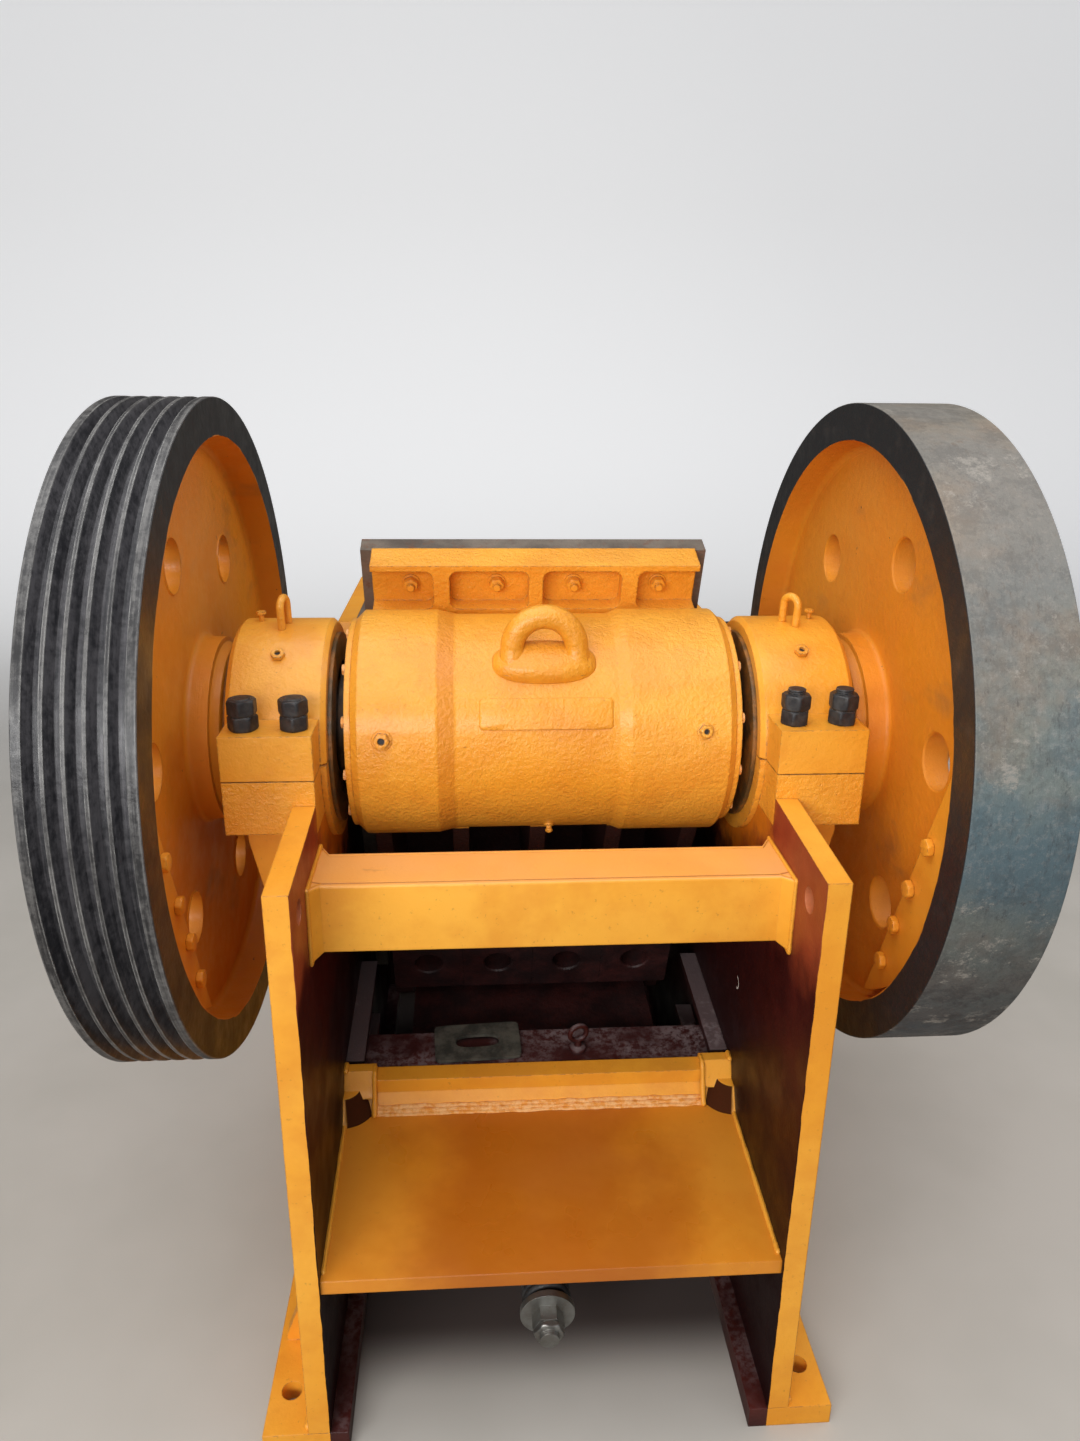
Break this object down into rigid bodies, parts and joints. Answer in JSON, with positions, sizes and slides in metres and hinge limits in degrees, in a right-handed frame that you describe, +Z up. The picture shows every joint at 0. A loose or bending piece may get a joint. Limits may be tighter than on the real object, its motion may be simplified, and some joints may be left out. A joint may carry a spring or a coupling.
{
  "type": "jaw crusher",
  "caption": "Single toggle jaw crusher: welded frame, swing jaw on an eccentric shaft, belt wheel and flywheel.",
  "frame": {"origin": "centre of the four foundation bolts on the base plane", "axes": "+Z up, +Y towards the feed side, X along the shaft with the belt wheel at -X"},
  "size_m": [1.462, 1.4372, 1.65],
  "materials": {
    "orange_paint": "gloss",
    "cast_orange": "gloss",
    "maroon_primer": "matte",
    "dark_steel": "satin",
    "bare_steel": "satin",
    "manganese_steel": "matte"
  },
  "bodies": {
    "frame": {"side_plate_left": "orange_paint", "side_plate_right": "orange_paint", "front_wall": "orange_paint", "front_ribs": "orange_paint", "rear_top_beam": "orange_paint", "toggle_beam": "orange_paint", "rear_shelf": "orange_paint", "foot_left": "orange_paint", "foot_right": "orange_paint", "bearing_bracket_left": "orange_paint", "bearing_bracket_right": "orange_paint", "bearing_base_left": "cast_orange", "bearing_base_right": "cast_orange", "bearing_cap_left": "cast_orange", "bearing_cap_right": "cast_orange", "cap_bolts_left": "dark_steel", "cap_bolts_right": "dark_steel", "cap_fittings": "orange_paint", "bearing_cover_left": "orange_paint", "bearing_cover_right": "orange_paint", "fixed_jaw_plate": "manganese_steel", "cheek_plate_left": "manganese_steel", "cheek_plate_right": "manganese_steel", "guide_rail_left": "maroon_primer", "guide_rail_right": "maroon_primer", "adjusting_block": "maroon_primer", "rear_toggle_seat": "bare_steel", "toggle_plate": "maroon_primer", "rod_bracket": "orange_paint", "tension_rod": "dark_steel", "tension_spring": "dark_steel"},
    "rotor": {"eccentric_shaft": "bare_steel", "sheave_wheel": "cast_orange", "flywheel": "cast_orange", "counterweight_left": "orange_paint", "counterweight_right": "orange_paint", "shaft_end_rings": "bare_steel"},
    "swing_jaw": {"swing_jaw": "cast_orange", "swing_jaw_plate": "manganese_steel", "barrel_ring_left": "orange_paint", "barrel_ring_right": "orange_paint", "jaw_toggle_seat": "bare_steel", "jaw_bolts": "orange_paint", "jaw_wedge": "maroon_primer", "rod_pin": "bare_steel"}
  },
  "joints": [
    {"name": "rotor_spin", "type": "hinge", "parent": "frame", "child": "rotor", "pos_m": [0, -0.16, 1.09], "axis": [1, 0, 0], "continuous": true},
    {"name": "jaw_on_eccentric", "type": "hinge", "parent": "rotor", "child": "swing_jaw", "pos_m": [0, -0.14887, 1.0945], "axis": [1, 0, 0], "continuous": true}
  ],
  "couplings": [
    {"joint": "jaw_on_eccentric", "follows": "rotor_spin", "ratio": -1}
  ]
}
